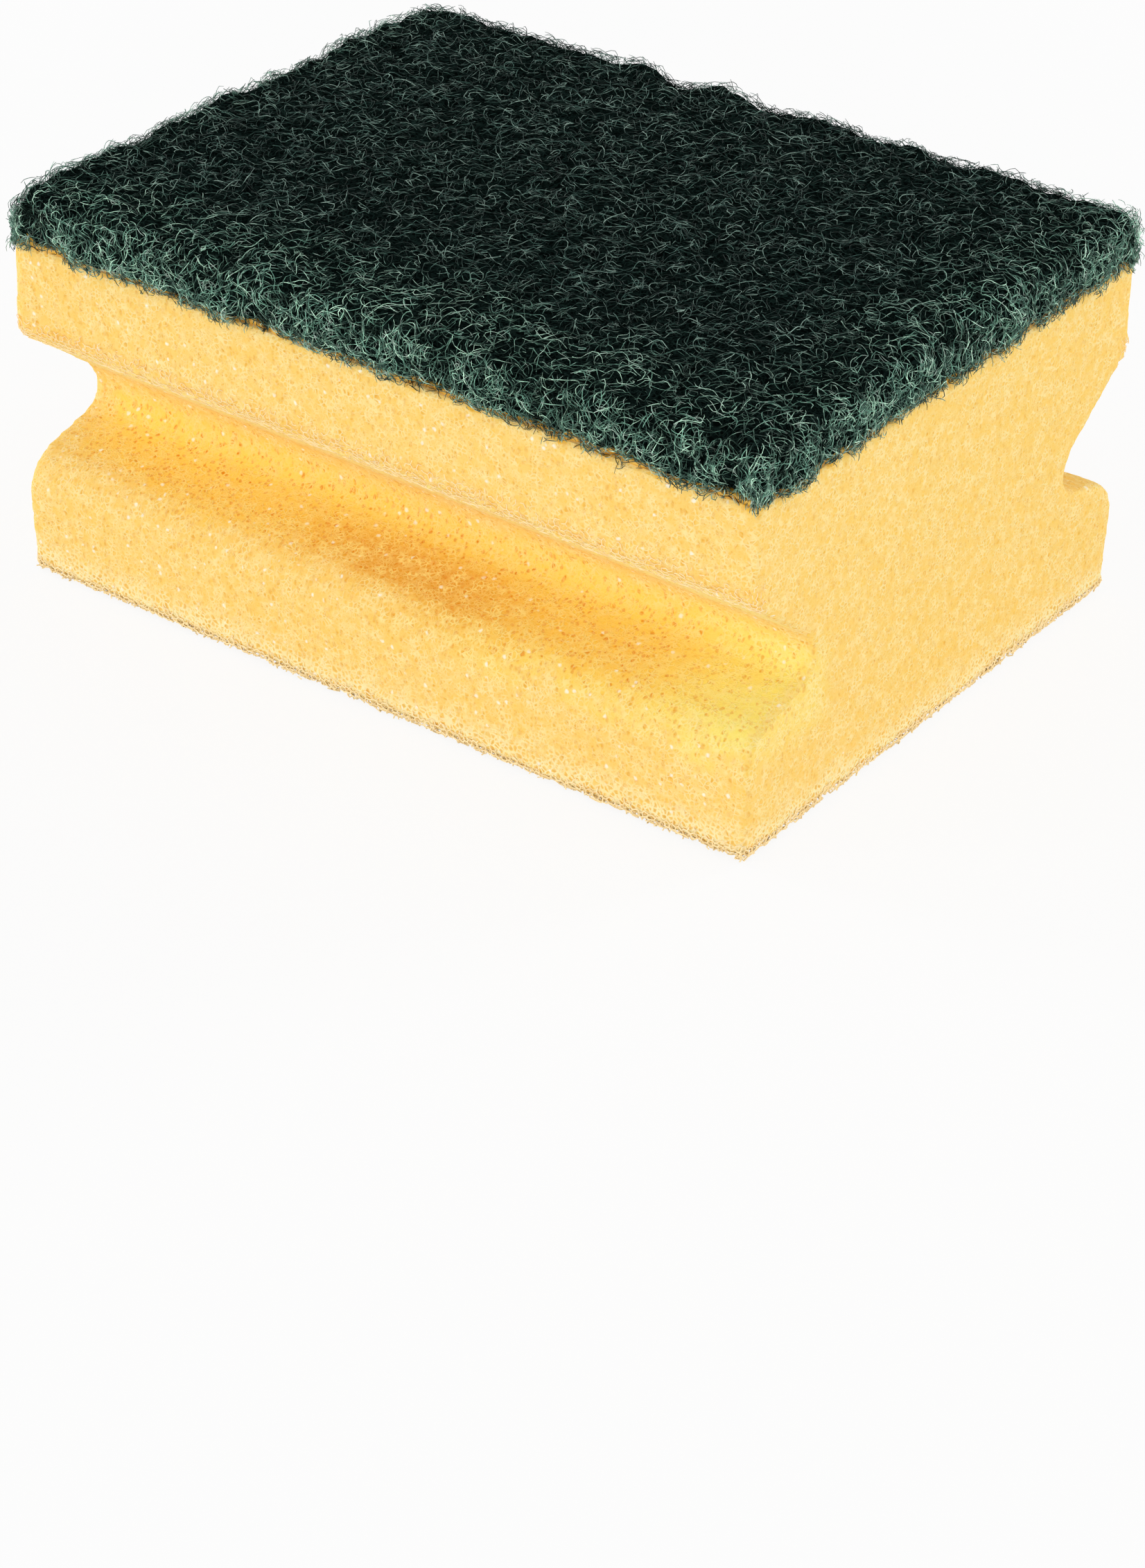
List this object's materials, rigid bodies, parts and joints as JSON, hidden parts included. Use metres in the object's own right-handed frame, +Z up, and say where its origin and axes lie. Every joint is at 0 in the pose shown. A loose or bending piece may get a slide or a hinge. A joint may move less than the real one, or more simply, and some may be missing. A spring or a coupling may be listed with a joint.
{
  "type": "cleaning sponge",
  "caption": "Rectangular yellow foam cleaning sponge with a finger groove along each long side and a dark green scouring pad glued on top.",
  "frame": {"origin": "centre of the foam's underside, the face it rests on", "axes": "+X along the length, +Y across the width, +Z up through the scouring pad"},
  "size_m": [0.095, 0.07, 0.045],
  "materials": {
    "foam": "open-cell polyurethane foam, pale yellow",
    "adhesive": "uneven amber adhesive",
    "scouring_web": "resin-bonded nonwoven fibre, dark green"
  },
  "bodies": {
    "root": {"foam_body": "foam", "bond_film": "adhesive", "scouring_pad": "scouring_web"}
  },
  "joints": []
}
